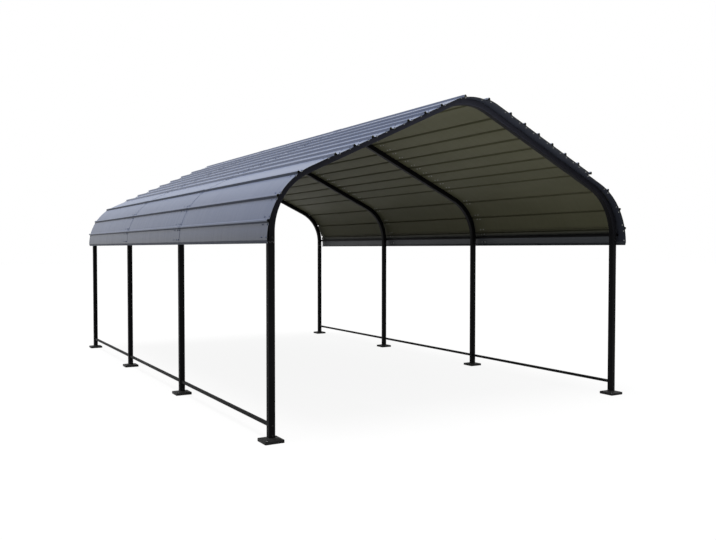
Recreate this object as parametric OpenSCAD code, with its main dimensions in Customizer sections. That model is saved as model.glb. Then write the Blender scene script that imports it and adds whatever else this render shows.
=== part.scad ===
// Carport: four arched frames of square tube on bolted foot pans, a thin rail along each side near
// the floor, a rail behind each eave, a curved roof of ribbed steel sheet laid in five strips, and
// a dark trim strip under the roof's front edge.
// Sizes are in millimetres. X is across, Y is along with the front at minus Y, and Z is up.

/* [Layout] */
// distance between the left and right posts, centre to centre
post_span = 3560; // [2400:10:5400]
// distance from the front frame to the second frame, centre to centre
bay_front = 2085; // [1400:5:2600]
// distance from the second frame to the third frame, centre to centre
bay_middle = 1970; // [1400:5:2600]
// distance from the third frame to the rear frame, centre to centre
bay_rear = 1970; // [1400:5:2600]
// height where the posts end and the shoulder bend starts
spring_h = 1512; // [1200:1:2400]
// slope of the roof in degrees
roof_slope = 25; // [15:1:35]

/* [Frame tube] */
// outside width of the square frame tube
tube_w = 50; // [38:1:76]
// wall of the frame tube
tube_wall = 1.5; // [1.2:0.1:3]
// corner radius of the frame tube
tube_corner = 5; // [3:0.5:8]
// bend radius of the shoulder and ridge, at the middle of the tube
bend_r = 505; // [350:5:700]
// length of straight tube below the shoulder bend, where the post plugs in
bow_tail = 70; // [50:1:120]
// clearance all round where one tube plugs into another
plug_clear = 0.2; // [0.1:0.05:0.5]
// radius of the bolt holes in the frame
bolt_hole_r = 4.25; // [3:0.05:6]
// radius of the screw holes that hold the eave rail
screw_hole_r = 3; // [2:0.1:4]

/* [Foot pan] */
// width of the square foot pan
foot_w = 150; // [110:1:220]
// height of the upright rim of the foot pan
foot_rim_h = 23; // [12:1:40]
// height of the foot pan under the post
foot_top_h = 30; // [16:1:50]
// sheet thickness of the foot pan
foot_sheet = 3; // [2:0.5:6]
// how far the flat top of the foot pan stands out past the post
foot_flat = 8; // [3:1:20]
// height of the stub that stands inside the post, above the pan
foot_stub_h = 70; // [40:1:150]
// wall of the stub
foot_stub_wall = 2; // [1.2:0.1:4]
// distance between the anchor holes
anchor_pitch = 112; // [80:1:180]
// radius of the anchor holes
anchor_hole_r = 6.5; // [4:0.1:9]
// height of the foot bolt above the floor
foot_bolt_h = 50; // [45:1:90]

/* [Side rails] */
// width of the square base rail tube
rail_w = 25; // [19:1:50]
// wall of the base rail and the eave rail
rail_wall = 1.2; // [1:0.1:3]
// corner radius of the base rail
rail_corner = 3; // [2:0.5:6]
// height of the middle of the base rail
rail_h = 121; // [110:1:400]
// thickness of the plate in each end of a base rail
rail_plug = 5; // [3:0.5:10]
// radius of the bolt hole in that plate
rail_hole_r = 4; // [3:0.05:6]
// height of the middle of the eave rail above the lower edge of the roof sheet
girt_up = 97; // [80:1:120]
// upright size of the eave rail
girt_h = 26; // [20:1:50]
// distance from the outer faces of the end frames to the ends of the eave rail
girt_inset = 12; // [0:1:18]

/* [Roof sheet] */
// thickness of the roof sheet as modelled
sheet_t = 1.2; // [0.6:0.1:2]
// clearance between the sheets, and between the sheets and the frame
sheet_gap = 0.3; // [0.2:0.05:0.6]
// inside radius of the shoulder bend of the sheet
sheet_r = 605; // [450:5:800]
// distance from the outer face of the posts to the inside of the upright sheet
sheet_out = 45; // [40:1:70]
// how far the roof sheet reaches below the start of the shoulder bend
sheet_drop = 82; // [40:1:120]
// height of the ribs over the inside of the sheet
rib_h = 19; // [12:0.5:30]
// width of the top of a rib
rib_top_w = 13; // [8:1:40]
// width of the foot of a rib
rib_foot_w = 30; // [22:1:60]
// distance between the ribs of the slope sheets
rib_pitch = 177; // [150:1:200]
// distance from the ridge line to the ribs of the ridge sheet, along the sheet
ridge_rib_s = 124; // [100:1:150]
// distance from the ridge sheet rib to the first rib of the slope sheet
first_rib_s = 256; // [150:1:300]
// places of the eave sheet's three ribs, as parts of the way from its top rib to its lower edge
eave_rib_at = [0.345, 0.607, 0.821]; // [0.1:0.001:0.95]
// height of the lip at the lower edge of the roof sheet
hem_l = 24; // [12:1:40]
// how far the edge of the lip is turned in
hem_in = 9; // [1:0.5:15]
// overhang of the ridge sheet in front of the middle of the front frame
ridge_over = 110; // [40:1:300]
// overhang of the slope sheets in front of the middle of the front frame
slope_over = 140; // [40:1:300]
// overhang of the eave sheets in front of the middle of the front frame
eave_over = 98; // [40:1:300]
// length of the lap where one sheet lies over the next
lap_l = 160; // [60:1:200]
// distance from the end of an eave sheet's lap to the middle of the frame at it
lap_back = 5; // [2:1:60]
// distance along the sheet from a rib's foot or the lip to a lap or to the trim strip
lap_side = 8; // [4:1:20]

/* [Front trim] */
// thickness of the trim strip under the front overhang
trim_t = 1.2; // [0.6:0.1:3]
// distance from the front edge of the sheets to the front edge of the trim strip
trim_back = 4; // [1:1:20]
// width of the trim strip at the eave, where it passes between the front bow and the sheet
trim_w = 110; // [60:1:160]
// height above the start of the shoulder bend from which the strip stays in front of the bow
trim_pass_up = 340; // [20:5:360]

/* [Hidden] */
// how far two pieces of one node overlap where they join, and how far a cut runs past a face
join_over = 0.5;
cut_over = 1;

// the plug at the top of a post ends a little below the shoulder bend
plug_short = 2;
neck_l = 4;

post_x = post_span / 2;
half_tube = tube_w / 2;
in_w = tube_w - 2 * tube_wall;
plug_w = in_w - 2 * plug_clear;
plug_corner = tube_corner - tube_wall - plug_clear;
plug_l = bow_tail - plug_short;
joint_h = spring_h - bow_tail;
normal_a = 90 - roof_slope;
nx = cos(normal_a);
nz = sin(normal_a);

// how far the model reaches in front of the front frame and behind the rear frame
reach_front = max(slope_over, ridge_over, eave_over, foot_w / 2);
reach_rear = foot_w / 2;
frame_len = bay_front + bay_middle + bay_rear;
y_first = -frame_len / 2 + (reach_front - reach_rear) / 2;
frame_y = [y_first, y_first + bay_front, y_first + bay_front + bay_middle, y_first + frame_len];
sheet_rear = half_tube;

// middle of the bow's two kinds of bend
shoulder_x = post_x - bend_r;
ridge_z = spring_h + shoulder_x * tan(roof_slope);
rafter_l = shoulder_x / cos(roof_slope);
rafter_top = [bend_r * nx, ridge_z + bend_r * nz];

// inner line of the roof sheet, measured from the ridge line along the sheet
ridge_r = bend_r + half_tube + sheet_gap;
sheet_x = post_x + half_tube + sheet_out;
turn_x = sheet_x - sheet_r;
turn_z = ridge_z + (ridge_r - sheet_r) / nz - turn_x * nx / nz;
s_ridge = ridge_r * roof_slope * PI / 180;
slope_top = [ridge_r * nx, ridge_z + ridge_r * nz];
slope_end = [turn_x + sheet_r * nx, turn_z + sheet_r * nz];
s_slope = s_ridge + norm(slope_end - slope_top);
s_turn = s_slope + sheet_r * normal_a * PI / 180;
sheet_low_z = spring_h - sheet_drop;
s_low = s_turn + turn_z - sheet_low_z;

// start of the lip at the lower edge, and where a lap or the trim strip ends above it
lip_s = s_low - hem_l;
s_stop = lip_s - lap_side;

// ribs: the slope sheet's ribs are evenly spaced, the eave sheet's ribs close up downwards
slope_ribs = 7;
s_first = ridge_rib_s + first_rib_s;
s_side = s_first + (slope_ribs - 1) * rib_pitch;
eave_l = s_low - s_side;
eave_ribs = [for (part = eave_rib_at) s_side + part * eave_l];

// sloping sides of a rib, and how far its corners move when it is drawn larger or smaller
rib_rise = rib_h - sheet_t;
rib_a = atan(rib_rise / ((rib_foot_w - rib_top_w) / 2));
corner_k = tan(rib_a / 2);
stack = sheet_t + sheet_gap;
lap_stop = rib_foot_w / 2 + lap_side;

// length over which a sheet steps up to its lap
step_l = 2;

// eave rail, held between the bows and the sheet, with room for the trim strip to pass
girt_z = sheet_low_z + girt_up;
girt_x0 = post_x + half_tube + sheet_gap;
girt_top = girt_z + girt_h / 2;
trim_r_in = sheet_r - sheet_gap - trim_t;
girt_x1 = turn_x + sqrt(trim_r_in * trim_r_in - pow(girt_top - turn_z, 2)) - sheet_gap;

black = [0.06, 0.06, 0.065];
blue_grey = [0.45, 0.49, 0.56];

// a square with rounded corners, as an outline
module round_square(w, r)
{
    h = w / 2 - r;
    polygon([for (q = [0:3], i = [0:3])
        let (a = 90 * q + 30 * i, cx = (q == 0 || q == 3) ? h : -h, cy = (q < 2) ? h : -h)
        [cx + r * cos(a), cy + r * sin(a)]]);
}

// cross-section of a square tube
module tube_section(w, wall, r)
{
    difference()
    {
        round_square(w, r);
        round_square(w - 2 * wall, max(r - wall, 0.5));
    }
}

// upright square tube from height z0 to height z1
module upright_tube(w, wall, r, z0, z1)
{
    translate([0, 0, z0])
        linear_extrude(height = z1 - z0)
            tube_section(w, wall, r);
}

// round hole through the tube, along Y
module hole_y(x, z, r, reach)
{
    translate([x, reach, z])
        rotate([90, 0, 0])
            cylinder(h = 2 * reach, r = r, $fn = 32);
}

// cross-section of the foot pan: upright rim, then a low slope up to a flat top
module pan_shape(half, rim, top_half, top)
{
    polygon([[-half, 0], [half, 0], [half, rim], [top_half, top], [-top_half, top], [-half, rim]]);
}

// the pan shape drawn in both directions, so all four sides slope
module pan_solid(half, rim, top_half, top)
{
    intersection()
    {
        rotate([90, 0, 0])
            translate([0, 0, -foot_w])
                linear_extrude(height = 2 * foot_w)
                    pan_shape(half, rim, top_half, top);
        rotate([90, 0, 90])
            translate([0, 0, -foot_w])
                linear_extrude(height = 2 * foot_w)
                    pan_shape(half, rim, top_half, top);
    }
}

// foot pan with its anchor holes and the stub that stands inside the post
module foot_shape()
{
    flat_half = half_tube + foot_flat;
    difference()
    {
        union()
        {
            difference()
            {
                pan_solid(foot_w / 2, foot_rim_h, flat_half, foot_top_h);
                translate([0, 0, -cut_over])
                    pan_solid(foot_w / 2 - foot_sheet, foot_rim_h - foot_sheet + cut_over,
                        flat_half, foot_top_h - foot_sheet + cut_over);
            }
            upright_tube(plug_w, foot_stub_wall, plug_corner, foot_top_h - 2 * join_over,
                foot_top_h + foot_stub_h);
        }
        for (sx = [-1, 1], sy = [-1, 1])
            translate([sx * anchor_pitch / 2, sy * anchor_pitch / 2, 0])
                cylinder(h = foot_top_h, r = anchor_hole_r, $fn = 32);
        hole_y(0, foot_bolt_h, bolt_hole_r, half_tube);
    }
}

// post: a plain tube whose top end is drawn in to plug into the bow
module leg_shape()
{
    difference()
    {
        union()
        {
            upright_tube(tube_w, tube_wall, tube_corner, foot_top_h, joint_h);
            upright_tube(in_w + 2 * join_over, plug_clear + tube_wall + 2 * join_over,
                tube_corner - 2 * join_over, joint_h - neck_l, joint_h);
            upright_tube(plug_w, tube_wall, plug_corner, joint_h - neck_l, joint_h + plug_l);
        }
        hole_y(0, foot_bolt_h, bolt_hole_r, tube_w);
        hole_y(0, rail_h, bolt_hole_r, tube_w);
        hole_y(0, joint_h + plug_l / 2, bolt_hole_r, tube_w);
    }
}

// tube bent about the Y direction: mid = bend centre, a0 to a1 in degrees from the X direction
module bent_tube(mid_x, mid_z, a0, a1)
{
    translate([mid_x, 0, mid_z])
        rotate([90, 0, 0])
            rotate([0, 0, a0])
                rotate_extrude(angle = a1 - a0, $fn = 96)
                    translate([bend_r, 0])
                        tube_section(tube_w, tube_wall, tube_corner);
}

// straight rafter on the right slope
module rafter()
{
    translate([rafter_top[0], 0, rafter_top[1]])
        rotate([0, 90 + roof_slope, 0])
            linear_extrude(height = rafter_l)
                tube_section(tube_w, tube_wall, tube_corner);
}

// right side of the bow: rafter, shoulder bend and straight tail
module bow_side()
{
    rafter();
    bent_tube(shoulder_x, spring_h, 0, normal_a);
    translate([post_x, 0, 0])
        upright_tube(tube_w, tube_wall, tube_corner, joint_h, spring_h);
}

// bow of one frame, bent from one tube
module bow_shape()
{
    difference()
    {
        union()
        {
            bent_tube(0, ridge_z, normal_a, 180 - normal_a);
            bow_side();
            mirror([1, 0, 0])
                bow_side();
        }
        for (sx = [-1, 1])
        {
            hole_y(sx * post_x, joint_h + plug_l / 2, bolt_hole_r, tube_w);
            translate([sx * (post_x + half_tube), 0, girt_z])
                rotate([0, 90, 0])
                    cylinder(h = 4 * tube_wall, r = screw_hole_r, center = true, $fn = 24);
        }
    }
}

// base rail between two posts, with a drilled plate in each end
module base_rail_shape(len)
{
    difference()
    {
        union()
        {
            rotate([90, 0, 0])
                translate([0, 0, -len / 2])
                    linear_extrude(height = len)
                        tube_section(rail_w, rail_wall, rail_corner);
            for (sy = [-1, 1])
                translate([0, sy * (len - rail_plug) / 2, 0])
                    cube([rail_w - rail_wall, rail_plug, rail_w - rail_wall], center = true);
        }
        for (sy = [-1, 1])
            translate([0, sy * (len - rail_plug) / 2, 0])
                rotate([90, 0, 0])
                    cylinder(h = 2 * rail_plug, r = rail_hole_r, center = true, $fn = 32);
    }
}

// eave rail: a flat tube along all four frames, just inside the upright part of the sheet
module girt_shape()
{
    w = girt_x1 - girt_x0;
    y0 = frame_y[0] - half_tube + girt_inset;
    len = frame_len + tube_w - 2 * girt_inset;
    difference()
    {
        translate([girt_x0, y0, girt_z - girt_h / 2])
            cube([w, len, girt_h]);
        translate([girt_x0 + rail_wall, y0 - cut_over, girt_z - girt_h / 2 + rail_wall])
            cube([w - 2 * rail_wall, len + 2 * cut_over, girt_h - 2 * rail_wall]);
        for (y = frame_y)
            translate([girt_x0 - cut_over, y, girt_z])
                rotate([0, 90, 0])
                    cylinder(h = w + 2 * cut_over, r = screw_hole_r, $fn = 24);
    }
}

// point on the right half of the roof: s along the sheet from the ridge line, h outwards
function roof_pt(s, h) =
    s <= s_ridge ? let (a = 90 - s / ridge_r * 180 / PI)
        [(ridge_r + h) * cos(a), ridge_z + (ridge_r + h) * sin(a)]
    : s <= s_slope ? let (k = s - s_ridge)
        [slope_top[0] + k * nz + h * nx, slope_top[1] - k * nx + h * nz]
    : s <= s_turn ? let (a = normal_a - (s - s_slope) / sheet_r * 180 / PI)
        [turn_x + (sheet_r + h) * cos(a), turn_z + (sheet_r + h) * sin(a)]
    : [sheet_x + h, turn_z - (s - s_turn)];

// same point, with negative s on the left half
function roof_at(s, h) = s >= 0 ? roof_pt(s, h) : let (p = roof_pt(-s, h)) [-p[0], p[1]];

// places along the sheet where its line is broken so that the bends come out round
ridge_steps = 8;
turn_steps = 22;
break_gap = 1;
bend_s = concat([for (i = [-ridge_steps:ridge_steps]) i * s_ridge / ridge_steps],
    [for (i = [0:turn_steps]) s_slope + i * (s_turn - s_slope) / turn_steps]);

// outer half widths of a rib drawn larger by o, at its top and at height z
function top_half(o) = rib_top_w / 2 + o * corner_k;
function side_half(o, z) = rib_top_w / 2 + (rib_h - z) / tan(rib_a) + o / sin(rib_a);

// one rib as [place, height] pairs: line at distance o, standing on a sheet face at height z
function rib_line(s, o, z) = [[s - side_half(o, z), z], [s - top_half(o), rib_h + o],
    [s + top_half(o), rib_h + o], [s + side_half(o, z), z]];

// the same rib where the sheet ends with it: its far side stops above the sheet below
function rib_end(s, o, z, stop) = [[s - side_half(o, z), z], [s - top_half(o), rib_h + o],
    [s + top_half(o), rib_h + o], [s + side_half(o, stop), stop]];
function rib_start(s, o, z, stop) = [[s - side_half(o, stop), stop], [s - top_half(o), rib_h + o],
    [s + top_half(o), rib_h + o], [s + side_half(o, z), z]];

// bend breaks between two places, at height z
function breaks(s0, s1, z) = [for (s = bend_s) if (s > s0 + break_gap && s < s1 - break_gap)
    [s, z]];

// list of [place, height] pairs turned into roof points
function on_roof(line) = [for (p = line) roof_at(p[0], p[1])];

// a line with ribs: pieces are lists of pairs in order, joined with bend breaks between them
function joined(pieces, z) = [for (i = [0:len(pieces) - 1])
    each (i < len(pieces) - 1 ?
        concat(pieces[i], breaks(pieces[i][len(pieces[i]) - 1][0], pieces[i + 1][0][0], z))
        : pieces[i])];

function reversed(v) = [for (i = [len(v) - 1:-1:0]) v[i]];

// sheet between an outer and an inner line of pieces, whose faces are at heights z1 and z0
module sheet_section(outer, inner, z1, z0)
{
    polygon(concat(on_roof(joined(outer, z1)), reversed(on_roof(joined(inner, z0)))));
}

// Sheet sections. up lifts the outer face and low lifts the inner face: both are 0 for the sheet
// itself, both are stack for its lap, and only up is stack where the sheet steps up to its lap.

// slope sheet: its top rib lies under the ridge sheet, its lower rib lies over the eave sheet
module slope_section(up, low)
{
    lap = up > 0;
    z1 = up + sheet_t;
    foot = sheet_t + sheet_gap;
    ribs = [for (i = [0:slope_ribs - 2]) s_first + i * rib_pitch];
    start_out = lap ? [[ridge_rib_s + lap_stop, z1]] : rib_line(ridge_rib_s, -stack, z1);
    start_in = lap ? [[ridge_rib_s + lap_stop, low]] : rib_line(ridge_rib_s, -stack - sheet_t, low);
    sheet_section(
        concat([start_out], [for (s = ribs) rib_line(s, up, z1)], [rib_end(s_side, up, z1, foot)]),
        concat([start_in], [for (s = ribs) rib_line(s, low - sheet_t, low)],
            [rib_end(s_side, low - sheet_t, low, foot)]),
        z1, low);
}

// eave sheet: its top rib lies under the slope sheet, and the lip at its lower edge is turned in
module eave_section(up, low)
{
    lap = up > 0;
    z1 = up + sheet_t;
    start_out = lap ? [[s_side + lap_stop, z1]] : rib_line(s_side, -stack, z1);
    start_in = lap ? [[s_side + lap_stop, low]] : rib_line(s_side, -stack - sheet_t, low);
    end_out = lap ? [[s_stop, z1]] : [[lip_s, z1], [s_low, z1 - hem_in]];
    end_in = lap ? [[s_stop, low]] : [[lip_s, low], [s_low, low - hem_in]];
    sheet_section(
        concat([start_out], [for (s = eave_ribs) rib_line(s, up, z1)], [end_out]),
        concat([start_in], [for (s = eave_ribs) rib_line(s, low - sheet_t, low)], [end_in]),
        z1, low);
}

// ridge sheet: on both sides it ends in a rib that lies over the slope sheets
module ridge_section(up, low)
{
    z1 = up + sheet_t;
    foot = sheet_t + sheet_gap;
    s = ridge_rib_s;
    sheet_section(
        [rib_start(-s, up, z1, foot), rib_end(s, up, z1, foot)],
        [rib_start(-s, low - sheet_t, low, foot), rib_end(s, low - sheet_t, low, foot)],
        z1, low);
}

// section carried along Y from y0 to y1
module along(y0, y1)
{
    translate([0, y1, 0])
        rotate([90, 0, 0])
            linear_extrude(height = y1 - y0)
                children();
}

// where the sheets of one strip start and end: the next sheet starts where the lap starts, and
// the laps of a strip that reaches further forward lie further forward too
function lap_y(i, over) = frame_y[i] - lap_back - lap_l - (over - eave_over);
function sheet_start(i, over) = i == 0 ? frame_y[0] - over : lap_y(i, over) + sheet_gap;
function sheet_stop(i, over) = i == 2 ? frame_y[3] + sheet_rear : lap_y(i + 1, over);

// one length of slope sheet; all but the last step up at the rear to lap over the next
module slope_sheet(i)
{
    y1 = sheet_stop(i, slope_over);
    along(sheet_start(i, slope_over), y1)
        slope_section(0, 0);
    if (i < 2)
    {
        along(y1 - step_l, y1)
            slope_section(stack, 0);
        along(y1 - step_l, y1 + lap_l)
            slope_section(stack, stack);
    }
}

// one length of eave sheet
module eave_sheet(i)
{
    y1 = sheet_stop(i, eave_over);
    along(sheet_start(i, eave_over), y1)
        eave_section(0, 0);
    if (i < 2)
    {
        along(y1 - step_l, y1)
            eave_section(stack, 0);
        along(y1 - step_l, y1 + lap_l)
            eave_section(stack, stack);
    }
}

// one length of ridge sheet
module ridge_sheet(i)
{
    y1 = sheet_stop(i, ridge_over);
    along(sheet_start(i, ridge_over), y1)
        ridge_section(0, 0);
    if (i < 2)
    {
        along(y1 - step_l, y1)
            ridge_section(stack, 0);
        along(y1 - step_l, y1 + lap_l)
            ridge_section(stack, stack);
    }
}

// front edge of the trim strip under a sheet that reaches over ahead of the first bow, and its rear
// edge in front of that bow and beside it
function trim_front(over) = frame_y[0] - over + trim_back;
trim_rear = frame_y[0] - half_tube - sheet_gap;
trim_pass = trim_front(eave_over) + trim_w;

// box that sets the trim strip back from x0 to x1, as far as under a shorter overhang
module trim_cut(x0, x1, over)
{
    y0 = trim_front(slope_over) - cut_over;
    z0 = sheet_low_z - cut_over;
    translate([x0, y0, z0])
        cube([x1 - x0, trim_front(over) - y0, ridge_z + ridge_r - z0]);
}

// trim strip of the right half, from the ridge line down to the lip of the eave sheet: low down,
// where the sheet stands clear of the bow, it passes between the two
module trim_shape()
{
    z1 = -sheet_gap;
    z0 = z1 - trim_t;
    s0 = sheet_gap / 2;
    difference()
    {
        along(trim_front(slope_over), trim_pass)
            sheet_section([[[s0, z1]], [[s_stop, z1]]], [[[s0, z0]], [[s_stop, z0]]], z1, z0);
        trim_cut(-cut_over, roof_pt(ridge_rib_s, 0)[0], ridge_over);
        trim_cut(roof_pt(s_side, 0)[0], sheet_x + cut_over, eave_over);
        translate([-cut_over, trim_rear, spring_h + trim_pass_up])
            cube([sheet_x, trim_pass + cut_over - trim_rear, ridge_z + ridge_r]);
    }
}

module left()
{
    mirror([1, 0, 0])
        children();
}

module foot_at(side, i)
{
    color(black)
        translate([side * post_x, frame_y[i], 0])
            foot_shape();
}

module leg_at(side, i)
{
    color(black)
        translate([side * post_x, frame_y[i], 0])
            leg_shape();
}

module bow_at(i)
{
    color(black)
        translate([0, frame_y[i], 0])
            bow_shape();
}

module rail_at(side, i)
{
    color(black)
        translate([side * post_x, (frame_y[i] + frame_y[i + 1]) / 2, rail_h])
            base_rail_shape(frame_y[i + 1] - frame_y[i] - tube_w);
}

module foot_l1() foot_at(-1, 0);
module foot_l2() foot_at(-1, 1);
module foot_l3() foot_at(-1, 2);
module foot_l4() foot_at(-1, 3);
module foot_r1() foot_at(1, 0);
module foot_r2() foot_at(1, 1);
module foot_r3() foot_at(1, 2);
module foot_r4() foot_at(1, 3);
module leg_l1() leg_at(-1, 0);
module leg_l2() leg_at(-1, 1);
module leg_l3() leg_at(-1, 2);
module leg_l4() leg_at(-1, 3);
module leg_r1() leg_at(1, 0);
module leg_r2() leg_at(1, 1);
module leg_r3() leg_at(1, 2);
module leg_r4() leg_at(1, 3);
module bow_1() bow_at(0);
module bow_2() bow_at(1);
module bow_3() bow_at(2);
module bow_4() bow_at(3);
module rail_l1() rail_at(-1, 0);
module rail_l2() rail_at(-1, 1);
module rail_l3() rail_at(-1, 2);
module rail_r1() rail_at(1, 0);
module rail_r2() rail_at(1, 1);
module rail_r3() rail_at(1, 2);
module girt_l() color(black) left() girt_shape();
module girt_r() color(black) girt_shape();
module eave_l1() color(blue_grey) left() eave_sheet(0);
module eave_l2() color(blue_grey) left() eave_sheet(1);
module eave_l3() color(blue_grey) left() eave_sheet(2);
module eave_r1() color(blue_grey) eave_sheet(0);
module eave_r2() color(blue_grey) eave_sheet(1);
module eave_r3() color(blue_grey) eave_sheet(2);
module slope_l1() color(blue_grey) left() slope_sheet(0);
module slope_l2() color(blue_grey) left() slope_sheet(1);
module slope_l3() color(blue_grey) left() slope_sheet(2);
module slope_r1() color(blue_grey) slope_sheet(0);
module slope_r2() color(blue_grey) slope_sheet(1);
module slope_r3() color(blue_grey) slope_sheet(2);
module ridge_1() color(blue_grey) ridge_sheet(0);
module ridge_2() color(blue_grey) ridge_sheet(1);
module ridge_3() color(blue_grey) ridge_sheet(2);
module trim_l() color(black) left() trim_shape();
module trim_r() color(black) trim_shape();

foot_l1();
foot_l2();
foot_l3();
foot_l4();
foot_r1();
foot_r2();
foot_r3();
foot_r4();
leg_l1();
leg_l2();
leg_l3();
leg_l4();
leg_r1();
leg_r2();
leg_r3();
leg_r4();
bow_1();
bow_2();
bow_3();
bow_4();
rail_l1();
rail_l2();
rail_l3();
rail_r1();
rail_r2();
rail_r3();
girt_l();
girt_r();
eave_l1();
eave_l2();
eave_l3();
eave_r1();
eave_r2();
eave_r3();
slope_l1();
slope_l2();
slope_l3();
slope_r1();
slope_r2();
slope_r3();
ridge_1();
ridge_2();
ridge_3();
trim_l();
trim_r();
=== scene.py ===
"""Looks of the carport: roof sheets with rolled ribs, bent tubes, pressed feet, small hardware and
paint. Lengths are in metres in the row frame: X across, Y along with the front at minus Y, Z up."""

import math

import bmesh
import bpy
from mathutils import Matrix, Vector


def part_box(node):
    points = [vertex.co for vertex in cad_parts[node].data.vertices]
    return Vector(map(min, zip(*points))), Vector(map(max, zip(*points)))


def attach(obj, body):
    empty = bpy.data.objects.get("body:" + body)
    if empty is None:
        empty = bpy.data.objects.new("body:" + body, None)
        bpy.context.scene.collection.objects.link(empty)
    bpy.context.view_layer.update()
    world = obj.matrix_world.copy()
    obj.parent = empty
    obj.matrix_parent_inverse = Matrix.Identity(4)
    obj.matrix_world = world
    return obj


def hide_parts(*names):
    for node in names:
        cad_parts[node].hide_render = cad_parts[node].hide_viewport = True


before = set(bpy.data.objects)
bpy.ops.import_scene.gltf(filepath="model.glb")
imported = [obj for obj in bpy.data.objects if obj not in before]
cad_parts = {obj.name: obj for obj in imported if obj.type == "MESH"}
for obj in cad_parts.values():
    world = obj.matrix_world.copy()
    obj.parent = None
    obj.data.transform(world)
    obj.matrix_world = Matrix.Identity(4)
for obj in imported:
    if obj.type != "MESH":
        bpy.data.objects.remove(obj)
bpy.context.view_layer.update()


def middle(node, axis):
    """Middle of a CAD node's box along one axis."""
    low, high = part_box(node)
    return (low[axis] + high[axis]) / 2


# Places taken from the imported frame
FRAME_Y = [middle("bow_%d" % i, 1) for i in range(1, 5)]
POST_X = middle("leg_r1", 0)
JOINT_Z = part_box("bow_1")[0].z
RAIL_Z = middle("rail_r1", 2)
FOOT_TOP_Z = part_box("leg_r1")[0].z
SHEET_LOW_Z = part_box("eave_r1")[0].z
GIRT_LOW, GIRT_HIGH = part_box("girt_r")

# Frame tube
TUBE_W = 0.050
TUBE_WALL = 0.0015
TUBE_CORNER = 0.005
JOINT_SEAM = 0.0006
BEND_R = 0.505
SPRING_Z = 1.512
PLUG_SHORT = 0.002
PLUG_Z = JOINT_Z + (SPRING_Z - JOINT_Z - PLUG_SHORT) / 2
SLOPE = math.radians(25)
BEND_STEPS = 28
CORNER_STEPS = 5

# Base rails and eave rails
RAIL_W = 0.025
RAIL_WALL = 0.0012
RAIL_CORNER = 0.003
GIRT_CORNER = 0.002
GIRT_CORNER_IN = 0.0008

# Foot pan
FOOT_W = 0.150
FOOT_RIM_Z = 0.023
FOOT_SHEET = 0.003
FOOT_FLAT = 0.008
ANCHOR_PITCH = 0.112
FOOT_BOLT_Z = 0.050

# Roof sheet
SHEET_T = 0.0012
SHEET_GAP = 0.0003
SHEET_R = 0.605
SHEET_OUT = 0.045
RIB_H = 0.019
RIB_TOP_W = 0.013
RIB_FOOT_W = 0.030
RIB_PITCH = 0.177
RIDGE_RIB_S = 0.124
FIRST_RIB_S = 0.256
SLOPE_RIBS = 7
EAVE_RIB_AT = (0.345, 0.607, 0.821)
LIP_L = 0.024
LIP_IN = 0.009
LAP_L = 0.160
LAP_BACK = 0.005
LAP_SIDE = 0.008
OVERHANG = {"ridge": 0.110, "slope": 0.140, "eave": 0.098}
TRIM_T = 0.0012
TRIM_BACK = 0.004
TRIM_W = 0.110
TRIM_PASS_UP = 0.340
STEP_L = 0.002
FOLD_R = 0.0022
FOLD_LEAST_R = 0.0006
FOLD_SHARE = 0.45
FOLD_STEPS = 3
ROOF_STEP = 0.014
FLANK_FALL = 0.3

# Roof line, worked out from the sizes above. Names with S_ are distances along the sheet from the
# ridge, and NX and NZ are the outward direction of the slope.
NORMAL_A = math.pi / 2 - SLOPE
NX = math.cos(NORMAL_A)
NZ = math.sin(NORMAL_A)
SHOULDER_X = POST_X - BEND_R
RIDGE_Z = SPRING_Z + SHOULDER_X * math.tan(SLOPE)
RIDGE_R = BEND_R + TUBE_W / 2 + SHEET_GAP
SHEET_X = POST_X + TUBE_W / 2 + SHEET_OUT
TURN_X = SHEET_X - SHEET_R
TURN_Z = RIDGE_Z + (RIDGE_R - SHEET_R) / NZ - TURN_X * NX / NZ
S_RIDGE = RIDGE_R * SLOPE
SLOPE_TOP = Vector((RIDGE_R * NX, RIDGE_Z + RIDGE_R * NZ))
SLOPE_END = Vector((TURN_X + SHEET_R * NX, TURN_Z + SHEET_R * NZ))
S_SLOPE = S_RIDGE + (SLOPE_END - SLOPE_TOP).length
S_TURN = S_SLOPE + SHEET_R * NORMAL_A
S_LOW = S_TURN + TURN_Z - SHEET_LOW_Z
S_FIRST = RIDGE_RIB_S + FIRST_RIB_S
S_SIDE = S_FIRST + (SLOPE_RIBS - 1) * RIB_PITCH
S_LIP = S_LOW - LIP_L
S_STOP = S_LIP - LAP_SIDE
S_PASS = S_SLOPE + SHEET_R * (NORMAL_A - math.asin((SPRING_Z + TRIM_PASS_UP - TURN_Z) / SHEET_R))
SLOPE_RIB_S = [S_FIRST + i * RIB_PITCH for i in range(SLOPE_RIBS)]
EAVE_RIB_S = [S_SIDE + part * (S_LOW - S_SIDE) for part in EAVE_RIB_AT]
RIB_A = math.atan((RIB_H - SHEET_T) / ((RIB_FOOT_W - RIB_TOP_W) / 2))
STACK = SHEET_T + SHEET_GAP
LAP_STOP = RIB_FOOT_W / 2 + LAP_SIDE
SHEET_REAR_Y = FRAME_Y[3] + TUBE_W / 2


# Shape building
SHARP = math.radians(38)


def new_object(name, data, place=None):
    """An object with this data, linked to the scene."""
    obj = bpy.data.objects.new(name, data)
    if place is not None:
        obj.matrix_world = place
    bpy.context.scene.collection.objects.link(obj)
    return obj


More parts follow.
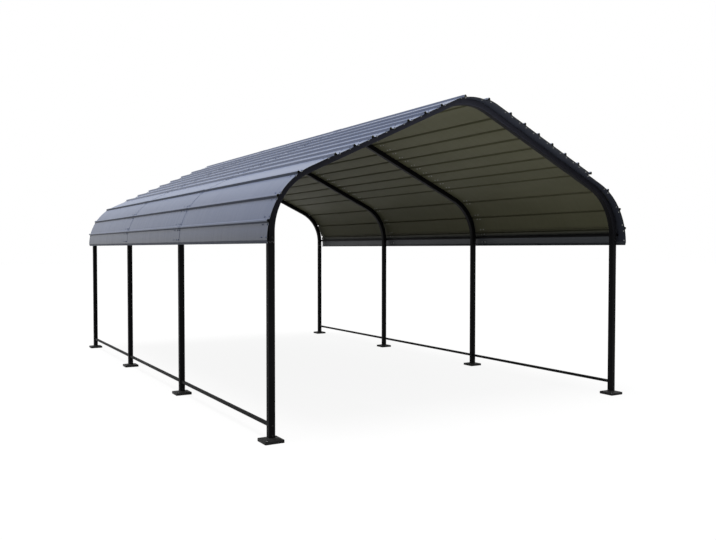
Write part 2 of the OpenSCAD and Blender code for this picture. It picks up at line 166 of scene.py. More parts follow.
class Shape:
    """Vertices, faces and a paint number for each face, gathered for one piece."""

    def __init__(self):
        self.verts = []
        self.faces = []
        self.paints = []

    def add(self, verts, faces, paint=0, place=None):
        start = len(self.verts)
        if place is not None:
            verts = [place @ Vector(v) for v in verts]
        self.verts += [tuple(v) for v in verts]
        self.faces += [tuple(start + i for i in face) for face in faces]
        self.paints += [paint] * len(faces)

    def loft(self, rings, paint=0, place=None, caps=True):
        """Closed rings with the same number of points, joined in order and capped at both ends."""
        n = len(rings[0])
        verts = [point for ring in rings for point in ring]
        faces = []
        for k in range(len(rings) - 1):
            a, b = k * n, (k + 1) * n
            faces += [(a + i, a + (i + 1) % n, b + (i + 1) % n, b + i) for i in range(n)]
        if caps:
            faces += [tuple(range(n)), tuple((len(rings) - 1) * n + i for i in range(n))]
        self.add(verts, faces, paint, place)

    def tube(self, outer_rings, inner_rings, paint=0):
        """Hollow tube between outer and inner rings, with the wall closed at both ends."""
        n = len(outer_rings[0])
        count = len(outer_rings)
        verts = [p for ring in outer_rings for p in ring] + [p for ring in inner_rings for p in ring]
        inner = n * count
        faces = []
        for k in range(count - 1):
            for i in range(n):
                j = (i + 1) % n
                a, b = k * n, (k + 1) * n
                faces.append((a + i, a + j, b + j, b + i))
                faces.append((inner + a + i, inner + b + i, inner + b + j, inner + a + j))
        for a in (0, (count - 1) * n):
            for i in range(n):
                j = (i + 1) % n
                faces.append((a + i, a + j, inner + a + j, inner + a + i))
        self.add(verts, faces, paint)

    def turned(self, profile, sides, paint=0, place=None):
        """Profile of (radius, height) pairs turned about Z, starting and ending at radius 0."""
        rings = profile[1:-1]
        verts = [(0, 0, profile[0][1])]
        for r, z in rings:
            verts += [(r * math.cos(2 * math.pi * i / sides), r * math.sin(2 * math.pi * i / sides), z)
                      for i in range(sides)]
        verts.append((0, 0, profile[-1][1]))
        faces = [(0, 1 + (i + 1) % sides, 1 + i) for i in range(sides)]
        for k in range(len(rings) - 1):
            a, b = 1 + k * sides, 1 + (k + 1) * sides
            faces += [(a + i, a + (i + 1) % sides, b + (i + 1) % sides, b + i) for i in range(sides)]
        last, a = len(verts) - 1, 1 + (len(rings) - 1) * sides
        faces += [(last, a + i, a + (i + 1) % sides) for i in range(sides)]
        self.add(verts, faces, paint, place)

    def piece(self, name, materials, slot, replaces=()):
        """The finished piece, riding on the root body."""
        mesh = bpy.data.meshes.new(name)
        mesh.from_pydata(self.verts, [], self.faces)
        for material in materials:
            mesh.materials.append(material)
        mesh.polygons.foreach_set("material_index", self.paints)
        work = bmesh.new()
        work.from_mesh(mesh)
        bmesh.ops.recalc_face_normals(work, faces=work.faces)
        work.to_mesh(mesh)
        work.free()
        mesh.polygons.foreach_set("use_smooth", [True] * len(mesh.polygons))
        mesh.set_sharp_from_angle(angle=SHARP)
        obj = new_object(name, mesh)
        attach(obj, "root")
        if replaces:
            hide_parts(*replaces)
        return obj


def oblong(w, h, r, steps=CORNER_STEPS):
    """Outline of a rectangle with rounded corners."""
    points = []
    for q, (cx, cy) in enumerate(((w / 2 - r, h / 2 - r), (r - w / 2, h / 2 - r),
                                  (r - w / 2, r - h / 2), (w / 2 - r, r - h / 2))):
        for i in range(steps + 1):
            a = math.pi / 2 * (q + i / steps)
            points.append((cx + r * math.cos(a), cy + r * math.sin(a)))
    return points


def along_y(x, z, section, ends):
    """Rings of a section that lies across X and Z, at the given places along Y."""
    return [[(x + u, y, z + v) for u, v in section] for y in ends]


def upright(x, y, section, heights):
    """Rings of a section that lies across X and Y, at the given heights."""
    return [[(x + u, y + v, z) for u, v in section] for z in heights]


def toward(at, direction):
    """Placement whose Z axis points along a direction."""
    turn = Vector(direction).to_track_quat("Z", "Y").to_matrix().to_4x4()
    return Matrix.Translation(at) @ turn


# Paint and metal. SPREAD is the middle range of a noise, the numbers of MIX are sockets of the mix
# node, and a STRETCH draws a noise out along the axes.
SPREAD_FROM, SPREAD_TO = 0.3, 0.7
MIX_FACTOR, MIX_A, MIX_B, MIX_RESULT = 0, 6, 7, 2
EVEN = (1.0, 1.0, 1.0)
DRIFT_STRETCH = (1.0, 0.35, 1.0)
STREAK_STRETCH = (1.2, 26.0, 1.2)
STREAK_TINT = (0.84, 0.84, 0.83)
STREAK_SHARE = 0.16
WAVE_STRETCH = (2.4, 0.9, 2.4)
SPANGLE_SHADE = 0.78

# Painted shade and painted light near the lower edge of the eave sheets, in heights above the lower edge in shares
# of the ramp height:
# how much of the paint shows there outside and inside, darker towards the bottom as painted shade, and how far the
# sheet inside takes the bluish grey painted sheen of the part below the eave rail. Faces turned to the sky fade to
# a lighter blue painted reflection of the sky, from the given upward part of a face's direction, up to the given
# share at most.
LOW_EDGE_RAMP_H = 0.20
LOW_EDGE_SHADE = ((0.0, 0.30), (0.12, 0.36), (0.16, 0.46), (0.45, 0.62), (0.85, 0.90), (1.0, 1.0))
LOW_EDGE_SHADE_IN = ((0.0, 0.62), (0.80, 0.62), (1.0, 1.0))
SHEEN_BELOW_RAIL_SHARE = ((0.0, 1.0), (0.42, 1.0), (0.83, 0.0))
SKY_SHEEN_FROM = 0.55
SKY_SHEEN_PART = 0.5
# Painted light on the front faces of the front bow: over this range of a face's direction towards the front, and up
# to this height.
FRONT_LIGHT_FROM, FRONT_LIGHT_FULL = -0.5, -0.95
FRONT_LIGHT_TOP_Z = 2.61


def new_material(name):
    material = bpy.data.materials.new(name)
    material.use_nodes = True
    tree = material.node_tree
    return material, tree, tree.nodes["Principled BSDF"]


def add_node(tree, kind, inputs=None, **settings):
    node = tree.nodes.new(kind)
    for key, value in settings.items():
        setattr(node, key, value)
    for key, value in (inputs or {}).items():
        node.inputs[key].default_value = value
    return node


def stretched_noise(tree, stretch, scale, detail=3.0, rough=0.5):
    """Noise in object coordinates, drawn out along the axes by the given factors."""
    place = add_node(tree, "ShaderNodeTexCoord")
    mapping = add_node(tree, "ShaderNodeMapping", {"Scale": stretch})
    noise = add_node(tree, "ShaderNodeTexNoise", {"Scale": scale, "Detail": detail, "Roughness": rough})
    tree.links.new(place.outputs["Object"], mapping.inputs["Vector"])
    tree.links.new(mapping.outputs["Vector"], noise.inputs["Vector"])
    return noise.outputs["Fac"]


def ramp(tree, fac, stops):
    """Colour ramp from (place, colour) stops."""
    node = add_node(tree, "ShaderNodeValToRGB")
    elements = node.color_ramp.elements
    while len(elements) < len(stops):
        elements.new(0.5)
    for element, (place, colour) in zip(elements, stops):
        element.position = place
        element.color = (*colour, 1.0)
    tree.links.new(fac, node.inputs["Fac"])
    return node.outputs["Color"]


def spread(tree, fac, low, high):
    """Number from low to high over the middle range of a noise."""
    node = add_node(tree, "ShaderNodeMapRange",
                    {"From Min": SPREAD_FROM, "From Max": SPREAD_TO, "To Min": low, "To Max": high})
    tree.links.new(fac, node.inputs["Value"])
    return node.outputs["Result"]


def mixed(tree, kind, fac, a, b):
    """Two colours mixed; a and b are links or plain colours, fac is a link or a number."""
    node = add_node(tree, "ShaderNodeMix", data_type="RGBA", blend_type=kind)
    for number, value in ((MIX_FACTOR, fac), (MIX_A, a), (MIX_B, b)):
        socket = node.inputs[number]
        if isinstance(value, bpy.types.NodeSocket):
            tree.links.new(value, socket)
        else:
            socket.default_value = value if isinstance(value, float) else (*value, 1.0)
    return node.outputs[MIX_RESULT]


def bumps(tree, shader, layers):
    """Bump layers of (height link, strength, distance in metres), one upon the other."""
    normal = None
    for height, strength, distance in layers:
        node = add_node(tree, "ShaderNodeBump", {"Strength": strength, "Distance": distance})
        tree.links.new(height, node.inputs["Height"])
        if normal is not None:
            tree.links.new(normal, node.inputs["Normal"])
        normal = node.outputs["Normal"]
    tree.links.new(normal, shader.inputs["Normal"])


def by_height(tree, low, high, stops):
    """Colours, or plain shares, laid out between two heights above the floor."""
    place = add_node(tree, "ShaderNodeTexCoord")
    parts = add_node(tree, "ShaderNodeSeparateXYZ")
    tree.links.new(place.outputs["Object"], parts.inputs["Vector"])
    node = add_node(tree, "ShaderNodeMapRange", {"From Min": low, "From Max": high})
    tree.links.new(parts.outputs["Z"], node.inputs["Value"])
    colours = [(part, (value,) * 3 if isinstance(value, float) else value) for part, value in stops]
    return ramp(tree, node.outputs["Result"], colours)


def facing(tree, axis, start, full, most=1.0):
    """Share that rises from 0 to most as the face's normal along an axis goes from start to full."""
    face = add_node(tree, "ShaderNodeNewGeometry")
    parts = add_node(tree, "ShaderNodeSeparateXYZ")
    tree.links.new(face.outputs["Normal"], parts.inputs["Vector"])
    node = add_node(tree, "ShaderNodeMapRange", {"From Min": start, "From Max": full, "To Max": most})
    tree.links.new(parts.outputs[axis], node.inputs["Value"])
    return node.outputs["Result"]


def coated_sheet(name, dark, light, rough, level, wave, painted_shade=(), sky_sheen=None, sheen_below_rail=None):
    """Coil-coated steel: slight colour drift, rain streaks down the slope and a wave of the given
    height. Of the last three arguments, the first is how much of the paint shows near the lower edge, a painted
    shade that darkens it towards the bottom; the second is the lighter blue that faces turned to the sky fade to,
    a painted reflection of the sky; the third is the colour and the specular level below the eave rail, whose
    bluish grey is a painted sheen."""
    material, tree, shader = new_material(name)
    drift = stretched_noise(tree, DRIFT_STRETCH, scale=2.2)
    streak = stretched_noise(tree, STREAK_STRETCH, scale=1.6, detail=4.0)
    speck = stretched_noise(tree, EVEN, scale=260.0, detail=2.0)
    colour = ramp(tree, drift, ((0.30, dark), (0.70, light)))
    streaks = ramp(tree, streak, ((0.35, STREAK_TINT), (0.6, EVEN)))
    colour = mixed(tree, "MULTIPLY", STREAK_SHARE, colour, streaks)
    # Faces turned to the sky fade to a lighter blue: painted reflection of the sky.
    if sky_sheen:
        colour = mixed(tree, "MIX", facing(tree, "Z", SKY_SHEEN_FROM, 1.0, SKY_SHEEN_PART), colour, sky_sheen)
    # Darker towards the lower edge of the sheet: painted shade.
    if painted_shade:
        colour = mixed(tree, "MULTIPLY", 1.0, colour, by_height(tree, SHEET_LOW_Z, SHEET_LOW_Z + LOW_EDGE_RAMP_H, painted_shade))
    shader.inputs["Specular IOR Level"].default_value = level
    # Below the eave rail the colour turns to a bluish grey painted sheen, with a higher specular level.
    if sheen_below_rail:
        sheen_colour, sheen_level = sheen_below_rail
        below = by_height(tree, SHEET_LOW_Z, SHEET_LOW_Z + LOW_EDGE_RAMP_H, SHEEN_BELOW_RAIL_SHARE)
        colour = mixed(tree, "MIX", below, colour, sheen_colour)
        node = add_node(tree, "ShaderNodeMapRange", {"To Min": level, "To Max": sheen_level})
        tree.links.new(below, node.inputs["Value"])
        tree.links.new(node.outputs["Result"], shader.inputs["Specular IOR Level"])
    tree.links.new(colour, shader.inputs["Base Color"])
    tree.links.new(spread(tree, streak, rough + 0.03, rough - 0.02), shader.inputs["Roughness"])
    waves = stretched_noise(tree, WAVE_STRETCH, scale=1.7, detail=1.5)
    bumps(tree, shader, ((waves, 0.5, wave), (speck, 0.08, 0.0004)))
    return material


def powder_coat(name, dark, light, rough, level, front_light=()):
    """Powder coat: fine orange peel, slightly lighter in patches where dirt settles. The last argument is painted
    light: the colour that the faces turned to the front take, from the top of the posts up to the ridge."""
    material, tree, shader = new_material(name)
    drift = stretched_noise(tree, EVEN, scale=9.0, detail=5.0)
    peel = stretched_noise(tree, EVEN, scale=520.0, detail=2.0)
    colour = ramp(tree, drift, ((0.35, dark), (0.68, light)))
    # Faces turned to the front take a lighter navy towards the top: painted light.
    if front_light:
        colour = mixed(tree, "MIX", facing(tree, "Y", FRONT_LIGHT_FROM, FRONT_LIGHT_FULL), colour,
                       by_height(tree, JOINT_Z, FRONT_LIGHT_TOP_Z, front_light))
    tree.links.new(colour, shader.inputs["Base Color"])
    tree.links.new(spread(tree, drift, rough - 0.05, rough + 0.07), shader.inputs["Roughness"])
    shader.inputs["Specular IOR Level"].default_value = level
    bumps(tree, shader, ((peel, 0.14, 0.0003),))
    return material


def plated(name, colour, rough):
    """Zinc plating with a faint spangle."""
    material, tree, shader = new_material(name)
    grain = stretched_noise(tree, EVEN, scale=600.0)
    darker = tuple(c * SPANGLE_SHADE for c in colour)
    tree.links.new(ramp(tree, grain, ((0.35, darker), (0.65, colour))), shader.inputs["Base Color"])
    tree.links.new(spread(tree, grain, rough - 0.06, rough + 0.08), shader.inputs["Roughness"])
    shader.inputs["Metallic"].default_value = 1.0
    return material


# Paints: darker and lighter colour, roughness, specular level, and for the sheets the waves' height
# Lighter blue of the faces turned to the sky: painted reflection of the sky.
ROOF_SKY_SHEEN = (0.212, 0.276, 0.452)
# Bluish grey painted sheen of the inside below the eave rail, with its specular level.
SHEEN_BELOW_RAIL_IN = ((0.020, 0.025, 0.032), 0.55)
# Lighter navy of the front bow's front faces by height: painted light.
PAINTED_FRONT_LIGHT = ((0.0, (0.008, 0.008, 0.009)), (0.39, (0.034, 0.035, 0.045)), (0.64, (0.058, 0.059, 0.076)),
         (0.85, (0.085, 0.088, 0.116)), (1.0, (0.110, 0.115, 0.150)))
ROOF_OUT = coated_sheet("roof_out", (0.096, 0.128, 0.232), (0.112, 0.148, 0.261), 0.36, 0.50, 0.0012, LOW_EDGE_SHADE,
                        ROOF_SKY_SHEEN)
# Darker paint for the down-facing flanks of the eave sheets' ribs: painted shade under the ribs.
ROOF_FLANK_SHADE = coated_sheet("roof_flank_shade", (0.056, 0.068, 0.100), (0.068, 0.082, 0.120), 0.55, 0.14, 0.0012)
# Inside of the sheets: darker towards the lower edge as painted shade, and a bluish grey painted sheen below the
# eave rail.
ROOF_IN = coated_sheet("roof_in", (0.106, 0.106, 0.063), (0.134, 0.132, 0.082), 0.55, 0.08, 0.0010, LOW_EDGE_SHADE_IN,
                       sheen_below_rail=SHEEN_BELOW_RAIL_IN)
FRAME_PAINT = powder_coat("frame_paint", (0.0052, 0.0052, 0.0058), (0.0084, 0.0084, 0.0092), 0.50, 0.042)
# Lit copy of the frame paint for the front bow, with painted light on its front faces.
FRONT_BOW_LIT_PAINT = powder_coat("front_bow_painted_light", (0.0048, 0.0049, 0.0060), (0.0078, 0.0080, 0.0094), 0.50, 0.035,
                          PAINTED_FRONT_LIGHT)
FOOT_PAINT = powder_coat("foot_paint", (0.016, 0.016, 0.016), (0.023, 0.023, 0.023), 0.52, 0.11)
# Dark paint of the trim strip under the front overhang: painted shade of the overhang's underside.
TRIM_SHADE_PAINT = powder_coat("trim_paint", (0.031, 0.035, 0.049), (0.039, 0.044, 0.060), 0.50, 0.10)
ZINC = plated("zinc", (0.40, 0.41, 0.40), 0.48)
DARK_BOLT = powder_coat("dark_bolt", (0.006, 0.006, 0.006), (0.010, 0.010, 0.010), 0.40, 0.14)
RUBBER = powder_coat("rubber_washer", (0.165, 0.195, 0.285), (0.185, 0.215, 0.310), 0.70, 0.25)
ROOF_SCREW = powder_coat("roof_screw", (0.165, 0.195, 0.295), (0.185, 0.220, 0.325), 0.40, 0.34)


# Frame
SIDES = (("l", -1), ("r", 1))
TUBE_OUT = oblong(TUBE_W, TUBE_W, TUBE_CORNER)
TUBE_IN = oblong(TUBE_W - 2 * TUBE_WALL, TUBE_W - 2 * TUBE_WALL, TUBE_CORNER - TUBE_WALL)
RAIL_OUT = oblong(RAIL_W, RAIL_W, RAIL_CORNER, steps=4)
RAIL_IN = oblong(RAIL_W - 2 * RAIL_WALL, RAIL_W - 2 * RAIL_WALL, RAIL_CORNER - RAIL_WALL, steps=4)

# Shapes of hardware. The end of a bolt is a profile in shares of its radius and of its length.
WASHER_EDGE = 0.25
WASHER_SIDES = 24
HEX_CHAMFER = 0.16
STUD_SIDES = 16
STUD_PROFILE = ((0, 0), (1, 0), (1, 0.30), (0.88, 0.38), (1, 0.46), (1, 0.60), (0.88, 0.68), (1, 0.76),
                (0.7, 1), (0, 1))

# Cross bolts of the frame: M8 with a washer under the head and under the nut
CROSS_FLATS = 0.013
CROSS_HEAD = 0.0053
CROSS_NUT = CROSS_HEAD * 1.2
CROSS_WASHER_R = 0.0085
CROSS_WASHER_T = 0.0015
CROSS_STUD_R = 0.0038
CROSS_STUD_L = 0.006


def arc(start, sweep):
    """Angles of a bend in even steps."""
    return [start + sweep * i / BEND_STEPS for i in range(BEND_STEPS + 1)]


def bow_path():
    """Points (x, z) along one bow from its right end to its left one, each with the outward angle."""
    right = [((POST_X, JOINT_Z), 0.0)]
    right += [((SHOULDER_X + BEND_R * math.cos(a), SPRING_Z + BEND_R * math.sin(a)), a)
              for a in arc(0.0, NORMAL_A)]
    ridge = [((BEND_R * math.cos(a), RIDGE_Z + BEND_R * math.sin(a)), a)
             for a in arc(NORMAL_A, math.pi - 2 * NORMAL_A)]
    left = [((-x, z), math.pi - a) for (x, z), a in reversed(right)]
    return right + ridge + left


def bow_rings(y, section):
    """Rings of a section swept along the bow at y."""
    return [[(x + u * math.cos(a), y + v, z + u * math.sin(a)) for u, v in section]
            for (x, z), a in bow_path()]


def washer(shape, at, direction, radius, thick, paint):
    """Washer that lies on a face at a point and rises in the given direction."""
    edge = thick * WASHER_EDGE
    shape.turned(((0, 0), (radius - edge, 0), (radius, edge), (radius, thick - edge),
                  (radius - edge, thick), (0, thick)), WASHER_SIDES, paint, toward(at, direction))


def hex_head(shape, at, direction, flats, height, paint):
    """Bolt head or nut, flats wide across its flats, with a chamfer at the far end."""
    r, chamfer = flats / math.sqrt(3), height * HEX_CHAMFER
    shape.turned(((0, 0), (r, 0), (r, height - chamfer), (r - chamfer, height), (0, height)), 6, paint,
                 toward(at, direction))


def stud_end(shape, at, direction, radius, length, paint):
    """Plain end of a bolt with a rounded tip and two shallow thread grooves."""
    shape.turned([(radius * r, length * z) for r, z in STUD_PROFILE], STUD_SIDES, paint, toward(at, direction))


def cross_end(shape, x, y, z, way, height):
    """Washer with a bolt head or a nut on it, on the face of a post at y. way is -1 ahead, 1 behind."""
    washer(shape, (x, y, z), (0, way, 0), CROSS_WASHER_R, CROSS_WASHER_T, 0)
    hex_head(shape, (x, y + way * CROSS_WASHER_T, z), (0, way, 0), CROSS_FLATS, height, 0)


def cross_bolt(shape, x, z, front_y, rear_y):
    """Bolt through a post along Y, with its head at the front and its nut at the rear."""
    cross_end(shape, x, front_y, z, -1, CROSS_HEAD)
    cross_end(shape, x, rear_y, z, 1, CROSS_NUT)
    stud_end(shape, (x, rear_y + CROSS_WASHER_T + CROSS_NUT, z), (0, 1, 0), CROSS_STUD_R, CROSS_STUD_L, 0)


# Bows, posts and their bolts, then the base rails between the posts
for i, y in enumerate(FRAME_Y, 1):
    bow = Shape()
    bow.tube(*[bow_rings(y, section) for section in (TUBE_OUT, TUBE_IN)])
    bow.piece("bow_%d_tube" % i, [FRONT_BOW_LIT_PAINT if i == 1 else FRAME_PAINT], "frame_black", ["bow_%d" % i])
    for side, sx in SIDES:
        post_x = sx * POST_X
        leg = Shape()
        leg.tube(*[upright(post_x, y, section, (FOOT_TOP_Z, JOINT_Z - JOINT_SEAM))
                   for section in (TUBE_OUT, TUBE_IN)])
        leg.piece("leg_%s%d_tube" % (side, i), [FRAME_PAINT], "frame_black", ["leg_%s%d" % (side, i)])

        bolts = Shape()
        front_y, rear_y = y - TUBE_W / 2, y + TUBE_W / 2
        cross_bolt(bolts, post_x, FOOT_BOLT_Z, front_y, rear_y)
        cross_bolt(bolts, post_x, PLUG_Z, front_y, rear_y)
        if i == 1:
            cross_end(bolts, post_x, front_y, RAIL_Z, -1, CROSS_HEAD)
        if i == len(FRAME_Y):
            cross_end(bolts, post_x, rear_y, RAIL_Z, 1, CROSS_HEAD)
        bolts.piece("bolts_%s%d" % (side, i), [DARK_BOLT], "frame_black")

for i in range(1, len(FRAME_Y)):
    for side, sx in SIDES:
        name = "rail_%s%d" % (side, i)
        low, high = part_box(name)
        rail = Shape()
        rail.tube(*[along_y(sx * POST_X, RAIL_Z, section, (low.y, high.y)) for section in (RAIL_OUT, RAIL_IN)])
        rail.piece(name + "_tube", [FRAME_PAINT], "frame_black", [name])

# Eave rails, behind the lower part of the roof sheet
girt_w = GIRT_HIGH.x - GIRT_LOW.x
girt_h = GIRT_HIGH.z - GIRT_LOW.z
girt_z = (GIRT_LOW.z + GIRT_HIGH.z) / 2
girt_sections = (oblong(girt_w, girt_h, GIRT_CORNER, steps=3),
                 oblong(girt_w - 2 * RAIL_WALL, girt_h - 2 * RAIL_WALL, GIRT_CORNER_IN, steps=3))
for side, sx in SIDES:
    girt = Shape()
    girt_x = sx * (GIRT_LOW.x + GIRT_HIGH.x) / 2
    girt.tube(*[along_y(girt_x, girt_z, section, (GIRT_LOW.y, GIRT_HIGH.y)) for section in girt_sections])
    girt.piece("girt_%s_tube" % side, [FRAME_PAINT], "frame_black", ["girt_%s" % side])


# Feet: pressed pan with softened edges, four open anchor holes and a weld round the post. The bead of
# the weld is given by how far out and how high it stands, in shares of its size.
PAN_EDGE_R = 0.0025
PAN_CORNER_R = 0.006
PAN_SOFT = 0.0006
PAN_HOLE = 0.015
PAN_HOLE_R = 0.004
FLAT_EASE = (0.004, 0.003)
WELD_R = 0.004
WELD_SINK = 0.0002
WELD_CURVE = ((0.55, 0.45), (0.2, 0.8))
ANCHOR_HOLE_R = 0.0065
HOLE_SIDES = 32
DRILL_REACH = 0.1


def drilled(obj, places, radius):
    """Cuts round holes straight down through the piece at the given places."""
    drill = Shape()
    angles = [2 * math.pi * k / HOLE_SIDES for k in range(HOLE_SIDES)]
    for x, y in places:
        drill.loft([[(x + radius * math.cos(a), y + radius * math.sin(a), z) for a in angles]
                    for z in (-DRILL_REACH, DRILL_REACH)])
    mesh = bpy.data.meshes.new("drill")
    mesh.from_pydata(drill.verts, [], drill.faces)
    tool = new_object("drill", mesh)
    cut = obj.modifiers.new("holes", "BOOLEAN")
    cut.operation, cut.solver, cut.object = "DIFFERENCE", "EXACT", tool
    result = bpy.data.meshes.new_from_object(obj.evaluated_get(bpy.context.evaluated_depsgraph_get()))
    result.set_sharp_from_angle(angle=SHARP)
    obj.modifiers.clear()
    obj.data = result
    bpy.data.objects.remove(tool)


def pan_profile():
    """(half width, corner radius, height) from inside the rim at the floor, out over the rim, up to the
    flat top and back under the sheet."""
    half, rim = FOOT_W / 2, FOOT_RIM_Z
    flat = TUBE_W / 2 + FOOT_FLAT
    edge = PAN_EDGE_R
    under = FOOT_SHEET
    slope = math.atan2(FOOT_TOP_Z - rim, half - flat)
    points = [(half - under, PAN_CORNER_R / 2, 0.0), (half - PAN_SOFT, PAN_CORNER_R, 0.0),
              (half, PAN_CORNER_R, PAN_SOFT), (half, PAN_CORNER_R, rim - edge)]
    for k in range(1, 4):
        a = (math.pi / 2 - slope) * k / 3
        points.append((half - edge * (1 - math.cos(a)), PAN_CORNER_R, rim - edge + edge * math.sin(a)))
    points += [(half - 0.5 * (half - flat), PAN_CORNER_R, rim + 0.5 * (FOOT_TOP_Z - rim)),
               (flat + FLAT_EASE[0], PAN_CORNER_R, FOOT_TOP_Z - PAN_SOFT),
               (flat - FLAT_EASE[1], PAN_CORNER_R, FOOT_TOP_Z), (PAN_HOLE, PAN_HOLE_R, FOOT_TOP_Z)]
    points += [(PAN_HOLE, PAN_HOLE_R, FOOT_TOP_Z - under), (flat, PAN_HOLE_R, FOOT_TOP_Z - under),
               (half - under, PAN_CORNER_R / 2, rim - under)]
    return points


def weld_profile():
    """(half width, corner radius, height) round the bead between post and pan."""
    half = TUBE_W / 2
    points = [(half + WELD_R, TUBE_CORNER + WELD_R, FOOT_TOP_Z - WELD_SINK)]
    points += [(half + WELD_R * out, TUBE_CORNER + WELD_R * out, FOOT_TOP_Z + WELD_R * up)
               for out, up in WELD_CURVE]
    points += [(half - WELD_SINK, TUBE_CORNER, FOOT_TOP_Z + WELD_R),
               (half - 2 * WELD_SINK, TUBE_CORNER, FOOT_TOP_Z - WELD_SINK)]
    return points


for i, y in enumerate(FRAME_Y, 1):
    for side, sx in SIDES:
        x = sx * POST_X
        pan = Shape()
        for profile in (pan_profile(), weld_profile()):
            rings = [[(x + u, y + v, z) for u, v in oblong(2 * half, 2 * half, corner, steps=4)]
                     for half, corner, z in profile]
            pan.loft(rings + [rings[0]], caps=False)
        name = "foot_%s%d" % (side, i)
        drilled(pan.piece(name + "_pan", [FOOT_PAINT], "foot_black", [name]),
                [(x + ax * ANCHOR_PITCH / 2, y + ay * ANCHOR_PITCH / 2) for ax in (-1, 1) for ay in (-1, 1)],
                ANCHOR_HOLE_R)


# Roof sheets

def roof_point(s, h):
    """Point (x, z) at distance s from the ridge line along the sheet and h outwards."""
    side = -1 if s < 0 else 1
    s = abs(s)
    if s <= S_RIDGE:
        a = math.pi / 2 - s / RIDGE_R
        x, z = (RIDGE_R + h) * math.cos(a), RIDGE_Z + (RIDGE_R + h) * math.sin(a)
    elif s <= S_SLOPE:
        k = s - S_RIDGE
        x, z = SLOPE_TOP.x + k * NZ + h * NX, SLOPE_TOP.y - k * NX + h * NZ
    elif s <= S_TURN:
        a = NORMAL_A - (s - S_SLOPE) / SHEET_R
        x, z = TURN_X + (SHEET_R + h) * math.cos(a), TURN_Z + (SHEET_R + h) * math.sin(a)
    else:
        x, z = SHEET_X + h, TURN_Z - (s - S_TURN)
    return side * x, z


def roof_normal(s):
    """Outward direction (x, z) of the sheet at distance s."""
    x0, z0 = roof_point(s, 0.0)
    x1, z1 = roof_point(s, 1.0)
    return x1 - x0, z1 - z0


def rib_line(s, o, before, after):
    """Corners of one rib: (place, height, fold radius). It is drawn larger by o, and the sheet lies at
    the heights before and after on its two sides."""
    def side_half(z):
        return RIB_TOP_W / 2 + (RIB_H - z) / math.tan(RIB_A) + o / math.sin(RIB_A)

    top = RIB_TOP_W / 2 + o * math.tan(RIB_A / 2)
    outward, inward = max(FOLD_R + o, FOLD_LEAST_R), max(FOLD_R - o, FOLD_LEAST_R)
    return [(s - side_half(before), before, inward), (s - top, RIB_H + o, outward),
            (s + top, RIB_H + o, outward), (s + side_half(after), after, inward)]


def folded(line):
    """The line with each corner replaced by a small arc of the corner's own radius."""
    result = []
    for k, (s, h, r) in enumerate(line):
        if k == 0 or k == len(line) - 1 or r <= 0:
            result.append((s, h))
            continue
        here = Vector((s, h))
        to_a = Vector(line[k - 1][:2]) - here
        to_b = Vector(line[k + 1][:2]) - here
        turn = math.pi - to_a.angle(to_b)
        cut = min(r * math.tan(turn / 2), FOLD_SHARE * to_a.length, FOLD_SHARE * to_b.length)
        start = here + to_a.normalized() * cut
        end = here + to_b.normalized() * cut
        for j in range(FOLD_STEPS + 1):
            t = j / FOLD_STEPS
            point = start.lerp(here, t).lerp(here.lerp(end, t), t)
            result.append((point.x, point.y))
    return result


def stepped(outer, inner):
    """Both lines cut into short steps along the bends, in the same places."""
    out_line, in_line = [outer[0]], [inner[0]]
    for k in range(len(outer) - 1):
        a, b = outer[k], outer[k + 1]
        c, d = inner[k], inner[k + 1]
        mid = abs(a[0] + b[0]) / 2
        bent = mid < S_RIDGE or S_SLOPE < mid < S_TURN or abs(a[0]) < S_RIDGE or abs(b[0]) > S_SLOPE
        parts = max(1, math.ceil(abs(b[0] - a[0]) / ROOF_STEP)) if bent else 1
        for j in range(1, parts + 1):
            t = j / parts
            out_line.append((a[0] + (b[0] - a[0]) * t, a[1] + (b[1] - a[1]) * t))
            in_line.append((c[0] + (d[0] - c[0]) * t, c[1] + (d[1] - c[1]) * t))
    return out_line, in_line


OUTSIDE, INSIDE, EDGE, FLANK = range(4)


def sheet_shell(shape, outer, inner, y0, y1, side, front=EDGE):
    """Closed shell of one length of sheet, with paint numbers for the outside, the inside, the cut
    edges and the flanks of the ribs that face down, whose paint is darker on the eave sheets as painted shade. The
    front edge may have another one."""
    out_line, in_line = stepped(folded(outer), folded(inner))
    n = len(out_line)
    verts = []
    for y in (y0, y1):
        for line in (out_line, in_line):
            for s, h in line:
                x, z = roof_point(s, h)
                verts.append((side * x, y, z))
    out0, in0, out1, in1 = 0, n, 2 * n, 3 * n
    shape.add(verts, [], 0)
    base = len(shape.verts) - len(verts)

    def put(faces, paint):
        shape.faces += [tuple(base + v for v in face) for face in faces]
        shape.paints += [paint] * len(faces)

    for k in range(n - 1):
        ahead, fall = out_line[k + 1][0] - out_line[k][0], out_line[k][1] - out_line[k + 1][1]
        if out_line[k][0] + out_line[k + 1][0] < 0:
            fall = -fall
        put([(out0 + k, out0 + k + 1, out1 + k + 1, out1 + k)], FLANK if fall > FLANK_FALL * ahead else OUTSIDE)
    put([(in0 + k, in1 + k, in1 + k + 1, in0 + k + 1) for k in range(n - 1)], INSIDE)
    put([(out0 + k, in0 + k, in0 + k + 1, out0 + k + 1) for k in range(n - 1)], front)
    put([(out1 + k, out1 + k + 1, in1 + k + 1, in1 + k) for k in range(n - 1)], EDGE)
    put([(out0, out1, in1, in0), (out0 + n - 1, in0 + n - 1, in1 + n - 1, out1 + n - 1)], EDGE)


